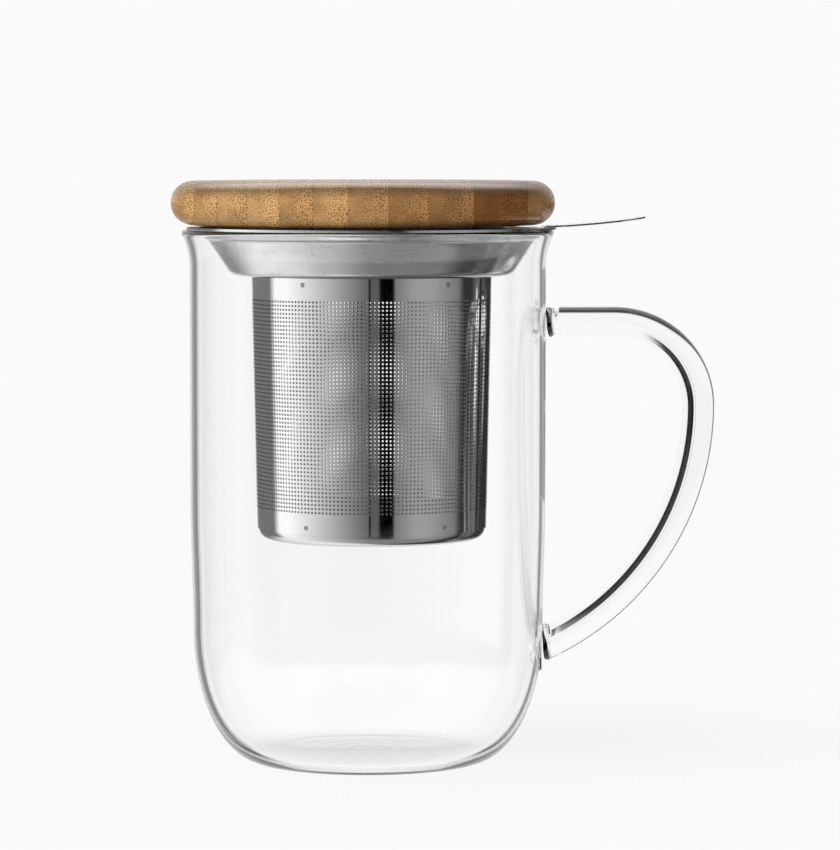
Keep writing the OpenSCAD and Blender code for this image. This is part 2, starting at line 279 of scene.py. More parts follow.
def grown(name, group, inputs):
    """The mesh that a geometry node group makes from named inputs."""
    holder = new_object(name, bpy.data.meshes.new(name))
    modifier = holder.modifiers.new(name, "NODES")
    modifier.node_group = group
    for item in group.interface.items_tree:
        if item.item_type == "SOCKET" and item.in_out == "INPUT":
            modifier[item.identifier] = inputs[item.name]
    return applied(holder)


def place(piece, body, slot, *nodes):
    """Rides the finished piece on its body, in place of the frame's own nodes."""
    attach(piece, body)
    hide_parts(*nodes)


# Node helpers ---------------------------------------------------------------

class Value:
    """A node's output. Arithmetic on it adds the math node that works it out."""

    def __init__(self, tree, socket):
        self.tree, self.socket = tree, socket

    def __add__(self, other):
        return self.tree.math("ADD", self, other)

    def __sub__(self, other):
        return self.tree.math("SUBTRACT", self, other)

    def __rsub__(self, other):
        return self.tree.math("SUBTRACT", other, self)

    def __mul__(self, other):
        return self.tree.math("MULTIPLY", self, other)

    def __truediv__(self, other):
        return self.tree.math("DIVIDE", self, other)

    def __rtruediv__(self, other):
        return self.tree.math("DIVIDE", other, self)

    def __gt__(self, other):
        return self.tree.math("GREATER_THAN", self, other)


class Tree:
    """Adds nodes to a tree; an input is a number, a colour or another node's value."""
    MERGE_DISTANCE = 0.01 * MM

    def __init__(self, tree):
        self.tree = tree
        self.column = 0

    def put(self, socket, value):
        if isinstance(value, Value):
            self.tree.links.new(value.socket, socket)
            return
        if socket.type == "RGBA" and len(value) == 3:
            value = (*value, 1.0)
        socket.default_value = value

    def add(self, kind, inputs=None, **settings):
        """A new node; inputs go by name or by number."""
        node = self.tree.nodes.new(kind)
        self.column += 180
        node.location = (self.column, 0)
        for key, value in settings.items():
            setattr(node, key, value)
        for key, value in (inputs or {}).items():
            self.put(node.inputs[key], value)
        return node

    def get(self, kind, inputs=None, output=0, **settings):
        """One value of a new node."""
        return Value(self, self.add(kind, inputs, **settings).outputs[output])

    def all(self, kind, inputs=None, **settings):
        """All values of a new node, by name."""
        return {s.name: Value(self, s) for s in self.add(kind, inputs, **settings).outputs}

    def math(self, operation, *values):
        return self.get("ShaderNodeMath", dict(enumerate(values)), operation=operation)

    def vector(self, operation, *values):
        output = "Value" if operation == "LENGTH" else "Vector"
        return self.get("ShaderNodeVectorMath", dict(enumerate(values)), output, operation=operation)

    def split(self, vector):
        return list(self.all("ShaderNodeSeparateXYZ", {0: vector}).values())

    def xyz(self, x=0.0, y=0.0, z=0.0):
        return self.get("ShaderNodeCombineXYZ", {0: x, 1: y, 2: z})

    def grey(self, value):
        return self.xyz(value, value, value)

    def between(self, value, low, high, to_low=0.0, to_high=1.0):
        """value going smoothly from low to high, carried over to to_low to to_high."""
        numbers = dict(enumerate((value, low, high, to_low, to_high)))
        return self.get("ShaderNodeMapRange", numbers, interpolation_type="SMOOTHSTEP")

    def band(self, value, low, high, soft):
        """1 between low and high, 0 outside, with soft sides."""
        rise = self.between(value, low - soft, low + soft)
        return rise * self.between(value, high - soft, high + soft, 1.0, 0.0)

    def mix(self, factor, a, b, blend="MIX"):
        """Mixes two colours."""
        colours = {0: factor, 6: a, 7: b}
        return self.get("ShaderNodeMix", colours, 2, data_type="RGBA", blend_type=blend)

    def tint(self, a, b):
        return self.mix(1.0, a, b, "MULTIPLY")

    def noise(self, vector, scale, detail):
        return self.get("ShaderNodeTexNoise", {"Vector": vector, "Scale": scale, "Detail": detail}, "Fac")

    def shape(self, kind, inputs=None, **settings):
        """The first value of a new geometry node."""
        return self.get("GeometryNode" + kind, inputs, **settings)

    def joined(self, *parts):
        join = self.add("GeometryNodeJoinGeometry")
        for part in parts:
            self.put(join.inputs[0], part)
        return Value(self, join.outputs[0])

    def merged(self, mesh):
        """The mesh with vertices that lie on each other made one."""
        return self.shape("MergeByDistance", {"Geometry": mesh, "Distance": self.MERGE_DISTANCE})

    def real(self, instances, material):
        """How a geometry tree ends: instances made real, with their material."""
        mesh = self.shape("RealizeInstances", {"Geometry": instances})
        return self.shape("SetMaterial", {"Geometry": mesh, "Material": material})


def new_material(name):
    """An empty node material and its tree."""
    material = bpy.data.materials.new(name)
    material.use_nodes = True
    material.node_tree.nodes.clear()
    return material, Tree(material.node_tree)


def floats(*names):
    return dict.fromkeys(names, "Float")


def new_group(name, kind, inputs, outputs):
    """A node group with named sockets; each name comes with the kind of its socket."""
    group = bpy.data.node_groups.new(name, kind + "NodeTree")
    for way, sockets in (("INPUT", inputs), ("OUTPUT", outputs)):
        for label, socket in sockets.items():
            group.interface.new_socket(label, in_out=way, socket_type="NodeSocket" + socket)
    tree = Tree(group)
    return group, tree, tree.all("NodeGroupInput"), tree.add("NodeGroupOutput").inputs


def new_shape_group(name, numbers, others):
    """A geometry node group with number inputs, others by their kind, and one shape going out."""
    return new_group(name, "Geometry", {**floats(*numbers), **others}, {"Geometry": "Geometry"})


# Glass ----------------------------------------------------------------------

# A ray that has met more faces than this is caught between them.
CAUGHT_AFTER = 6.5


def glass_material():
    """Clear glass. A caught ray goes straight on, so that thick places don't turn black."""
    material, tree = new_material("clear_glass")
    glass = tree.get("ShaderNodeBsdfPrincipled", {
        "Base Color": (1.0, 1.0, 1.0), "Roughness": 0.0, "IOR": 1.47, "Transmission Weight": 1.0})
    clear = tree.get("ShaderNodeBsdfTransparent", {"Color": (0.97, 0.975, 0.975)})
    path = tree.all("ShaderNodeLightPath")
    straight_on = tree.math("MAXIMUM", path["Is Shadow Ray"], path["Ray Depth"] > CAUGHT_AFTER)
    surface = tree.get("ShaderNodeMixShader", {0: straight_on, 1: glass, 2: clear})
    tree.add("ShaderNodeOutputMaterial", {"Surface": surface})
    return material


class CupShape:
    """The cup's outline: flat foot, curved base, straight wall, flared mouth and round lip."""
    SEGMENTS = 256
    FOOT_RINGS = 80
    OUTSIDE_STEPS = 32
    INSIDE_STEPS = 48
    TAPER_ROWS = 12
    PAD_ROWS = 24
    FLARE_STEPS = 16
    LIP_STEPS = 14
    # How far the rings in the floor go, in foot radii, and close rows for a bulge, in its radii
    RIPPLE_REACH = 0.55
    BULGE_REACH = 2.2

    def __init__(self, glass):
        self.glass = glass
        self.radius = cup_high.y - glass.flare_out
        self.base_radius = self.radius - glass.taper
        self.foot = self.base_radius - glass.round_width
        self.lip = glass.wall / 2
        self.lip_z = cup_high.z - self.lip
        self.lip_at = cup_high.y - self.lip
        self.arm_z = cup_high.z - glass.arm_drop
        self.flare_radius = (glass.flare_height ** 2 + glass.flare_out ** 2) / (2 * glass.flare_out)
        self.flare_angle = math.degrees(math.asin(glass.flare_height / self.flare_radius))

    def outside_at(self, height):
        """Outside radius at a height below the flare."""
        glass = self.glass
        share = min(max(glass.round_height - height, 0) / glass.round_height, 1)
        curved = self.foot + glass.round_width * math.sqrt(1 - share ** 2)
        up_wall = ease(height, glass.round_height, glass.round_height + glass.taper_height)
        return curved + glass.taper * up_wall

    def side(self, inset, floor, steps):
        """From the flat foot up the curved base and the narrowing wall."""
        glass = self.glass
        width, height = glass.round_width - inset, glass.round_height - floor
        turns = [math.pi / 2 * i / steps for i in range(steps + 1)]
        curved = [(self.foot + width * math.sin(a), glass.round_height - height * math.cos(a)) for a in turns]
        heights = [glass.taper_height * i / self.TAPER_ROWS for i in range(1, self.TAPER_ROWS + 1)]
        wall = [(self.base_radius - inset + glass.taper * ease(z, 0, glass.taper_height),
                 glass.round_height + z) for z in heights]
        return curved + wall

    def flare(self, side):
        """The mouth's outer face (side -1) or inner face (side 1)."""
        centre = (self.radius - self.lip + self.flare_radius, self.lip_z - self.glass.flare_height)
        radius = self.flare_radius + side * self.lip
        return arc(centre, radius, 180, 180 - self.flare_angle, self.FLARE_STEPS)

    def profile(self):
        glass = self.glass
        foot = [self.foot * i / self.FOOT_RINGS for i in range(self.FOOT_RINGS)]
        under = [(r, glass.kick * (1 + math.cos(math.pi * r / self.foot)) / 2) for r in foot[::4]]
        fade = [math.exp(-(r / (self.RIPPLE_REACH * self.foot)) ** 4) for r in foot]
        over = [(r, glass.floor + glass.ripple * f * math.cos(2 * math.pi * r / glass.ripple_pitch))
                for r, f in zip(foot, fade)]
        spread = self.BULGE_REACH * glass.dent_radius
        steps = [2 * spread * i / self.PAD_ROWS for i in range(self.PAD_ROWS + 1)]
        behind_arm = [(self.radius - glass.wall, self.arm_z - spread + step) for step in steps]
        lip = arc((self.lip_at, self.lip_z), self.lip, -self.flare_angle, 180 - self.flare_angle,
                  self.LIP_STEPS)
        outside = under + self.side(0, 0, self.OUTSIDE_STEPS) + self.flare(-1)
        inside = over + self.side(glass.wall, glass.floor, self.INSIDE_STEPS) + behind_arm + self.flare(1)
        return outside + lip[1:-1] + inside[::-1]

    def bulge(self, vertices):
        """The inner face bulges a little behind each of the handle's pads."""
        glass = self.glass
        places = []
        for x, y, z in vertices:
            inside = math.hypot(x, y) < self.outside_at(z) - glass.wall / 2
            if inside and x > self.foot:
                for height in (self.arm_z, glass.foot_height):
                    far = math.hypot(y, z - height) / glass.dent_radius
                    x -= glass.dent * math.exp(-far ** 4)
            places.append((x, y, z))
        return places


class HandleShape:
    """The drawn rod: an arm, a bend and one long arc back to the wall, with a pad at each end."""
    AROUND = 56
    SQUARENESS = 2.35
    # How far each end lies inside the wall
    SUNK = 0.9 * MM
    WAIST_SPREAD = 0.8 * MM
    FINE_STEP = 0.14 * MM
    FINE_LENGTH = 5.5 * MM
    COARSE_STEP = 1.1 * MM
    FOLLOWS_WALL = 4 * MM
    FREE_OF_WALL = 12 * MM
    WALL_PASSES = 6
    # Share of the arm that keeps its own thickness, and share of the swelling at the lower joint
    ARM_EVEN = 0.8
    LOWER_SWELL = 0.65

    def __init__(self, glass, cup):
        self.glass, self.cup = glass, cup
        half = glass.handle_thickness / 2
        self.far_x = handle_high.x - half
        self.bend_z = cup.arm_z - glass.bend_radius
        run = self.far_x - cup.outside_at(glass.foot_height)
        fall = self.bend_z - glass.foot_height
        self.side_radius = (run * run + fall * fall) / (2 * run)
        self.arm = self.far_x - glass.bend_radius - cup.radius
        self.bend = glass.bend_radius * math.pi / 2
        self.length = self.arm + self.bend + self.side_radius * math.atan2(fall, self.side_radius - run)

    def at(self, s):
        """Point and direction at a distance s along the centre line, from wall to wall."""
        if s <= self.arm:
            return Vector((self.cup.radius + s, 0, self.cup.arm_z)), Vector((1, 0, 0))
        if s <= self.arm + self.bend:
            radius = self.glass.bend_radius
            turn = (s - self.arm) / radius
        else:
            radius = self.side_radius
            turn = (s - self.arm - self.bend) / radius + math.pi / 2
        out = Vector((math.sin(turn), 0, math.cos(turn)))
        middle = Vector((self.far_x - radius, 0, self.bend_z))
        return middle + out * radius, Vector((out.z, 0, -out.x))

    def clear(self, at):
        """How far a point stands out from the cup's wall."""
        return math.hypot(at.x, at.y) - self.cup.outside_at(at.z)

    def stations(self):
        """Distances along the handle for its rings, close together at both walls."""
        fine = int((self.SUNK + self.FINE_LENGTH) / self.FINE_STEP)
        near = [i * self.FINE_STEP - self.SUNK for i in range(fine)]
        first, last = near[-1], self.length - near[-1]
        coarse = int((last - first) / self.COARSE_STEP)
        middle = [first + (last - first) * i / coarse for i in range(1, coarse)]
        return near + middle + [self.length - s for s in reversed(near)]

    def corner(self, k):
        """Place round the rod's slightly squared section, across it and in depth, from -1 to 1."""
        turn = 2 * math.pi * k / self.AROUND
        return [math.copysign(abs(v) ** (2 / self.SQUARENESS), v) for v in (math.cos(turn), math.sin(turn))]

    def ring(self, s):
        """One ring of the rod; near a wall it lies parallel to it, and swells into the pad."""
        glass = self.glass
        upper = s < self.length / 2
        centre, way = self.at(min(max(s, 0), self.length))
        to_wall = -way if upper else way
        from_wall = s if upper else self.length - s
        centre = centre + to_wall * max(-from_wall, 0)
        out = Vector((-way.z, 0, way.x))
        waist = glass.waist * math.exp(-((from_wall - glass.waist_from_wall) / self.WAIST_SPREAD) ** 2)
        thick = glass.arm_thickness + (glass.handle_thickness - glass.arm_thickness) * ease(
            s, self.ARM_EVEN * self.arm, self.arm + self.bend)
        points = []
        for k in range(self.AROUND):
            c, d = self.corner(k)
            offset = out * c * (thick / 2 - waist) + Vector((0, d * (glass.handle_width / 2 - waist), 0))
            at = centre + offset
            for _ in range(self.WALL_PASSES if from_wall < self.FREE_OF_WALL else 0):
                at = at + to_wall * (self.clear(at) - from_wall)
            at = (centre + offset).lerp(at, 1 - ease(from_wall, self.FOLLOWS_WALL, self.FREE_OF_WALL))
            share = min(max(1 - self.clear(at) / glass.pad_length, 0), 1)
            below = 0.5 - 0.5 * math.cos(2 * math.pi * k / self.AROUND)
            side = below if upper else self.LOWER_SWELL
            points.append(at + offset.normalized() * glass.pad * side * (1 - math.sqrt(1 - share * share)))
        return points

    def mesh(self):
        stations = self.stations()
        vertices = [at for s in stations for at in self.ring(s)]
        faces = grid_faces(len(stations), self.AROUND, wrap=True)
        faces.append(tuple(range(self.AROUND))[::-1])
        faces.append(tuple(range(len(vertices) - self.AROUND, len(vertices))))
        return vertices, faces


class MUG_OT_glass(Operator):
    """Blows the cup and fuses the drawn handle to it, as one piece of glass"""
    bl_idname = "mug.glass"
    bl_label = "Glass"

    def execute(self, context):
        glass = context.scene.mug_glass
        cup = CupShape(glass)
        material = glass_material()
        vertices, faces = lathe(cup.profile(), cup.SEGMENTS)
        body = finished("cup_wall", new_mesh("cup_wall", cup.bulge(vertices), faces), material, 0)
        rod = finished("handle_rod", new_mesh("handle_rod", *HandleShape(glass, cup).mesh()), material, 0)
        fuse = body.modifiers.new("fuse", "BOOLEAN")
        fuse.operation, fuse.solver, fuse.object = "UNION", "EXACT", rod
        mesh = applied(body)
        bpy.data.objects.remove(rod)
        piece = finished("blown_glass", mesh, material, 0)
        piece.visible_diffuse = False
        place(piece, "cup", "glass", "glass_cup", "glass_handle")
        return {"FINISHED"}


# Steel ----------------------------------------------------------------------

def sheet_marks_group():
    """Marks in sheet metal: fine lines round it, slow waves, and smears left by hands."""
    group, tree, given, out = new_group(
        "sheet_marks", "Shader", {"Vector": "Vector", **floats("Wave Size", "Smear Size")},
        floats("Lines", "Waves", "Smears"))
    x, y, z = tree.split(given["Vector"])
    radius = tree.vector("LENGTH", tree.xyz(x, y))
    tree.put(out["Lines"], tree.noise(tree.xyz(radius, z), 6000.0, 3.0))
    tree.put(out["Waves"], tree.noise(given["Vector"], 1.0 / given["Wave Size"], 1.0))
    tree.put(out["Smears"], tree.noise(given["Vector"], 1.0 / given["Smear Size"], 4.0))
    return group


def steel_material(name, tone, roughness, lines, waves, wave_size=15 * MM, smear=0.0):
    """Steel with lines and waves of a given depth, and smears of a given strength."""
    material, tree = new_material(name)
    group = bpy.data.node_groups.get("sheet_marks") or sheet_marks_group()
    coords = tree.get("ShaderNodeTexCoord", output="Object")
    marks = tree.all("ShaderNodeGroup", {
        "Vector": tree.vector("SUBTRACT", coords, AT_INFUSER),
        "Wave Size": wave_size, "Smear Size": 9 * MM}, node_tree=group)
    smeared = tree.between(marks["Smears"], 0.45, 0.62)
    rough = tree.between(marks["Lines"], 0.25, 0.75, roughness * 0.8, roughness * 1.2) + smeared * smear
    fine = tree.get("ShaderNodeBump", {"Strength": 1.0, "Distance": lines, "Height": marks["Lines"]})
    slow = tree.get("ShaderNodeBump", {
        "Strength": 1.0, "Distance": waves, "Height": marks["Waves"], "Normal": fine})
    steel = tree.get("ShaderNodeBsdfPrincipled", {
        "Base Color": tree.tint((1.0, 0.995, 0.985), smeared * (-0.5 * smear) + tone),
        "Metallic": 1.0, "Roughness": rough, "Normal": slow})
    tree.add("ShaderNodeOutputMaterial", {"Surface": steel})
    return material


# Corners of flange, step and ledge: how far in from the rim, how far down, and rounding
COLLAR_CORNERS = (
    (1.9 * MM, 0, 1.2 * MM),
    (3.6 * MM, 1.55 * MM, 1.3 * MM),
    (5.0 * MM, 2.05 * MM, 1.6 * MM),
)
FUNNEL_IN = 10.3 * MM
FUNNEL_ROUND = 3 * MM
NECK_ROUND = 0.2 * MM
NECK_IN_SLEEVE = 0.43 * MM
COLLAR_OVER_SLEEVE = 0.05 * MM


def collar_line():
    """The collar's outer face: radius, height and rounding of each corner, from the rim inwards."""
    infuser = bpy.context.scene.mug_infuser
    rim = collar_high.y
    under = collar_high.z - infuser.collar_sheet
    foot = sleeve_high.z + COLLAR_OVER_SLEEVE
    neck = infuser.top_radius - NECK_IN_SLEEVE
    corners = [(rim - inwards, under - down, rounding) for inwards, down, rounding in COLLAR_CORNERS]
    return [(rim, under, 0), *corners, (rim - FUNNEL_IN, foot, FUNNEL_ROUND), (neck, foot, NECK_ROUND),
            (neck, collar_low.z, 0)]


def funnel_top():
    """Radius and height of the ledge, where the funnel starts, and how far it runs in as it drops by 1."""
    (ledge_r, ledge_z, _), (foot_r, foot_z, _) = collar_line()[3:5]
    return ledge_r, ledge_z, (ledge_r - foot_r) / (ledge_z - foot_z)


class MUG_OT_collar(Operator):
    """Presses the infuser's collar: flange, step, ledge, funnel and neck"""
    bl_idname = "mug.collar"
    bl_label = "Infuser collar"
    SEGMENTS = 256

    def execute(self, context):
        line = rounded_line(collar_line())
        profile = line + beside(line, context.scene.mug_infuser.collar_sheet)[::-1]
        mesh = new_mesh("collar_pressing", *lathe(profile, self.SEGMENTS, True, INFUSER_X))
        material = steel_material("satin_collar_steel", tone=0.82, roughness=0.17,
                                  lines=0.0002 * MM, waves=0.1 * MM, smear=0.12)
        piece = finished("collar_pressing", mesh, material, 50)
        place(piece, "infuser", "steel_collar", "infuser_collar")
        return {"FINISHED"}


def distance_of_rows(infuser):
    return (infuser.first_row - infuser.last_row) / (infuser.rows - 1)


def hole_cell_group():
    """Geometry nodes: an eight-sided hole in the middle of a small rectangle of sheet."""
    group, t, given, out = new_shape_group("hole_cell", ("Width", "Height", "Hole"), {})
    rim = t.shape("MeshCircle", {"Vertices": 8, "Radius": given["Hole"] / 2.0})
    sheet = t.all("GeometryNodeExtrudeMesh", {"Mesh": rim, "Offset Scale": 0.0}, mode="EDGES")
    x, y, _ = t.split(t.shape("InputPosition"))
    # The rim's outer copy goes out to the cell's corners and to the middle of each side.
    reach = given["Hole"] * 0.45
    side = t.math("ROUND", x / reach) * given["Width"] * 0.5
    top = t.math("ROUND", y / reach) * given["Height"] * 0.5
    t.put(out[0], t.shape("SetPosition", {
        "Geometry": sheet["Mesh"], "Selection": sheet["Top"], "Position": t.xyz(side, top)}))
    return group


def cells_at(t, points, width, height, hole):
    """Nodes that set one hole cell on each point and make them one mesh."""
    group = bpy.data.node_groups.get("hole_cell") or hole_cell_group()
    cell = t.shape("Group", {"Width": width, "Height": height, "Hole": hole}, node_tree=group)
    placed = t.shape("InstanceOnPoints", {"Points": points, "Instance": cell})
    return t.shape("RealizeInstances", {"Geometry": placed})


def rolled_sheet_group():
    """Geometry nodes: rows of holes between two plain bands, rolled onto a cone."""
    group, t, given, out = new_shape_group(
        "rolled_sheet", ("Column Pitch", "Row Pitch", "Hole", "Sheet", "Top Radius", "Foot Radius",
                         "Top Height", "Foot Height", "First Row", "Start Angle", "Column Angle", "Centre"),
        {"Columns": "Int", "Rows": "Int", "Material": "Material"})
    columns, pitch, row_pitch = given["Columns"], given["Column Pitch"], given["Row Pitch"]
    foot, top, first_row = given["Foot Height"], given["Top Height"], given["First Row"]
    width = pitch * columns
    rise = row_pitch * (given["Rows"] - 1.0)
    points = t.shape("MeshGrid", {
        "Size X": width - pitch, "Size Y": rise, "Vertices X": columns, "Vertices Y": given["Rows"]})
    cells = cells_at(t, points, pitch, row_pitch, given["Hole"])
    parts = [t.shape("Transform", {"Geometry": cells, "Translation": t.xyz(0.0, first_row - rise * 0.5)})]

    # The plain bands have a vertex at each of the cells' own, so that they join.
    half = row_pitch * 0.5
    for low, high in ((first_row + half, top), (foot, first_row - rise - half)):
        plain = t.shape("MeshGrid", {
            "Size X": width, "Size Y": high - low, "Vertices X": columns * 2.0 + 1.0, "Vertices Y": 3})
        at = t.xyz(0.0, (low + high) * 0.5)
        parts.append(t.shape("Transform", {"Geometry": plain, "Translation": at}))
    flat = t.merged(t.joined(*parts))

    # Give the flat sheet its thickness, then roll it: across is round, up is up, thickness is out.
    raised = t.shape("ExtrudeMesh", {
        "Mesh": flat, "Offset": t.xyz(0.0, 0.0, 1.0), "Offset Scale": given["Sheet"],
        "Individual": False}, mode="FACES")
    solid = t.merged(t.joined(raised, flat))
    x, y, z = t.split(t.shape("InputPosition"))
    turn = given["Start Angle"] + given["Column Angle"] * (x / pitch + columns * 0.5)
    share = (y - foot) / (top - foot)
    face = given["Foot Radius"] + share * (given["Top Radius"] - given["Foot Radius"])
    radius = face + (z - given["Sheet"])
    rolled = t.shape("SetPosition", {"Geometry": solid, "Position": t.xyz(
        given["Centre"] + radius * t.math("COSINE", turn), radius * t.math("SINE", turn), y)})
    t.put(out[0], t.real(rolled, given["Material"]))
    return group


class MUG_OT_sleeve(Operator):
    """Rolls the perforated sleeve in three panels and laps its seam"""
    bl_idname = "mug.sleeve"
    bl_label = "Infuser sleeve"
    PANELS = 3

    def execute(self, context):
        infuser = context.scene.mug_infuser
        material = steel_material("rolled_sleeve_steel", tone=0.82, roughness=0.06,
                                  lines=0.0001 * MM, waves=0.02 * MM, wave_size=22 * MM)
        group = rolled_sheet_group()
        turn = 2 * math.pi / infuser.columns
        middle_radius = infuser.top_radius - infuser.narrow / 2
        per_panel = infuser.columns // self.PANELS
        shared = {
            "Rows": infuser.rows, "Column Pitch": turn * middle_radius, "Column Angle": turn,
            "Row Pitch": distance_of_rows(infuser), "Hole": infuser.hole, "Sheet": infuser.sheet,
            "Top Height": sleeve_high.z, "Foot Height": sleeve_low.z, "First Row": infuser.first_row,
            "Centre": INFUSER_X, "Material": material}
        parts = [(f"sleeve_panel_{i + 1}", per_panel, infuser.seam_turn + i * per_panel * turn, 0.0)
                 for i in range(self.PANELS)]
        lap_start = infuser.seam_turn - infuser.seam_columns * turn / 2
        parts.append(("sleeve_lap", infuser.seam_columns, lap_start, infuser.sheet))
        for name, columns, start, proud in parts:
            mesh = grown(name, group, {
                **shared, "Columns": columns, "Start Angle": start,
                "Top Radius": infuser.top_radius + proud,
                "Foot Radius": infuser.top_radius - infuser.narrow + proud})
            piece = finished(name, mesh, material, 30)
            place(piece, "infuser", "steel_sleeve", "infuser_sleeve")
        return {"FINISHED"}


def base_field_group():
    """Geometry nodes: a flat round field of hole cells."""
    group, t, given, out = new_shape_group(
        "base_field", ("Pitch", "Hole", "Field Radius"), {"Material": "Material"})
    pitch = given["Pitch"]
    across = t.math("ROUND", given["Field Radius"] / pitch)
    posts = across * 2.0 + 1.0
    size = across * pitch * 2.0
    grid = t.shape("MeshGrid", {"Size X": size, "Size Y": size, "Vertices X": posts, "Vertices Y": posts})
    outside = t.vector("LENGTH", t.shape("InputPosition")) > given["Field Radius"]
    kept = t.shape("DeleteGeometry", {"Geometry": grid, "Selection": outside}, domain="POINT")
    flat = t.merged(cells_at(t, kept, pitch, pitch, given["Hole"]))
    t.put(out[0], t.real(flat, given["Material"]))
    return group


class MUG_OT_base(Operator):
    """Draws the infuser's base cup, with a round field of holes in its bottom"""
    bl_idname = "mug.base"
    bl_label = "Infuser base"
    SEGMENTS = 160
    # How nearly the side's lower edge lies level with the bottom, and where its corner starts
    LEVEL = 0.001 * MM
    CLOSE = 0.01 * MM

    def execute(self, context):
        infuser = context.scene.mug_infuser
        material = steel_material("drawn_base_steel", tone=0.79, roughness=0.14,
                                  lines=0.0002 * MM, waves=0.05 * MM)
        field = grown("base_field", base_field_group(), {
            "Pitch": distance_of_rows(infuser), "Hole": infuser.hole, "Field Radius": infuser.base_field,
            "Material": material})
        edge = base_high.y - infuser.base_corner
        line = rounded_line([(edge, base_low.z, 0), (base_high.y, base_low.z, infuser.base_corner),
                             (base_high.y, base_high.z, 0)])
        side = new_mesh("base_side", *lathe(line[1:], self.SEGMENTS, centre_x=INFUSER_X))
        work = bmesh.new()
        work.from_mesh(field)
        bmesh.ops.translate(work, verts=work.verts, vec=(INFUSER_X, 0, base_low.z))
        rim = [e for e in work.edges if e.is_boundary and e.calc_length() > infuser.hole / 2]
        work.from_mesh(side)
        ring = [e for e in work.edges if e.is_boundary and all(
            v.co.z < base_low.z + self.LEVEL and (v.co - AT_INFUSER).xy.length > edge - self.CLOSE
            for v in e.verts)]
        bmesh.ops.triangle_fill(work, edges=rim + ring, use_beauty=True)
        bmesh.ops.recalc_face_normals(work, faces=work.faces)
        mesh = bpy.data.meshes.new("base_cup")
        work.to_mesh(mesh)
        work.free()
        piece = new_object("base_cup", mesh)
        thick = piece.modifiers.new("thickness", "SOLIDIFY")
        thick.thickness, thick.offset, thick.use_even_offset = infuser.base_sheet, -1, True
        piece = finished("base_cup_drawing", applied(piece), material, 40)
        place(piece, "infuser", "steel_base", "infuser_base")
        return {"FINISHED"}


class TabShape:
    """The lifting tab: its root follows the collar, then it runs out flat and curves up."""
    TURN_UP = math.radians(3)
    BEND = 12 * MM
    CURVE = 230 * MM
    ROOT_HEIGHT = 5 * MM
    ROOT_INSET = 1 * MM
    ROOT_LIFT = 0.01 * MM
    START_IN = 0.95 * MM
    ROOT_ENDS_IN = 0.5 * MM
    ROOT_ENDS_OUT = 2 * MM
    COLUMNS = 32
    FLAT_ROWS = 40
    CORNER_ROWS = 20

    def __init__(self, infuser):
        self.infuser = infuser
        self.lift = infuser.collar_sheet + self.ROOT_LIFT
        self.flange = collar_high.y
        self.start = self.flange - self.START_IN
        self.tip = tab_high.x - INFUSER_X
        self.root_turn = math.asin((infuser.tab_width / 2 - self.ROOT_INSET) / self.flange)

    def root_line(self):
        ledge_r, ledge_z, slope = funnel_top()
        end = (ledge_r - slope * self.ROOT_HEIGHT, ledge_z - self.ROOT_HEIGHT, 0)
        return beside(rounded_line([*collar_line()[:4], end]), self.lift)[1:]

    def height_at(self, r):
        """Height of the underside, from the middle of the flange outwards."""
        low = collar_high.z - self.infuser.collar_sheet + self.lift
        bend_end = self.start + self.BEND * math.sin(self.TURN_UP)
        if r < bend_end:
            return low + self.BEND - math.sqrt(self.BEND ** 2 - (r - self.start) ** 2)
        middle_r = bend_end - self.CURVE * math.sin(self.TURN_UP)
        middle_z = low + self.BEND + (self.CURVE - self.BEND) * math.cos(self.TURN_UP)
        return middle_z - math.sqrt(self.CURVE ** 2 - (r - middle_r) ** 2)

    def outer_rows(self):
        """Radii of the rows, closer together round the outer corners."""
        corner, flat, steps = self.infuser.tab_corner, self.FLAT_ROWS, self.CORNER_ROWS
        last = self.tip - corner
        rows = [self.start + (last - self.start) * i / flat for i in range(flat)]
        return rows + [last + corner * math.sin(math.pi / 2 * i / steps) for i in range(steps + 1)]

    def half_width(self, r):
        full, corner = self.infuser.tab_width / 2, self.infuser.tab_corner
        into = min(max(r - (self.tip - corner), 0), corner)
        return full - corner + math.sqrt(corner ** 2 - into ** 2)

    def mesh(self):
        shares = [2 * k / (self.COLUMNS - 1) - 1 for k in range(self.COLUMNS)]
        rows = []
        for r, z in reversed(self.root_line()):
            turns = [v * self.root_turn for v in shares]
            rows.append([(INFUSER_X + r * math.cos(a), r * math.sin(a), z) for a in turns])
        for r in self.outer_rows():
            root = 1 - ease(r, self.flange - self.ROOT_ENDS_IN, self.flange + self.ROOT_ENDS_OUT)
            half = self.half_width(r) - self.ROOT_INSET * root
            ys = [v * half for v in shares]
            z = self.height_at(r)
            rows.append([(INFUSER_X + r - root * (r - math.sqrt(r * r - y * y)), y, z) for y in ys])
        return [at for row in rows for at in row], grid_faces(len(rows), self.COLUMNS)


class MUG_OT_tab(Operator):
    """Cuts and bends the lifting tab"""
    bl_idname = "mug.tab"
    bl_label = "Infuser tab"

    def execute(self, context):
        infuser = context.scene.mug_infuser
        material = steel_material("tab_steel", tone=0.7, roughness=0.17,
                                  lines=0.0003 * MM, waves=0.06 * MM)
        piece = new_object("tab_blank", new_mesh("tab_blank", *TabShape(infuser).mesh()))
        thick = piece.modifiers.new("thickness", "SOLIDIFY")
        thick.thickness, thick.offset = infuser.tab_sheet, -1
        edge = piece.modifiers.new("edge", "BEVEL")
        edge.width, edge.segments, edge.limit_method = 0.07 * MM, 2, "ANGLE"
        edge.angle_limit = math.radians(50)
        piece = finished("lifting_tab", applied(piece), material, 50)
        place(piece, "infuser", "steel_tab", "infuser_tab")
        return {"FINISHED"}


# A weld's ring and the ring's section, as radii for a diameter of 1, and how high its dome is
WELD_RING = 0.42
WELD_RING_SECTION = 0.08
WELD_DOME = 0.12


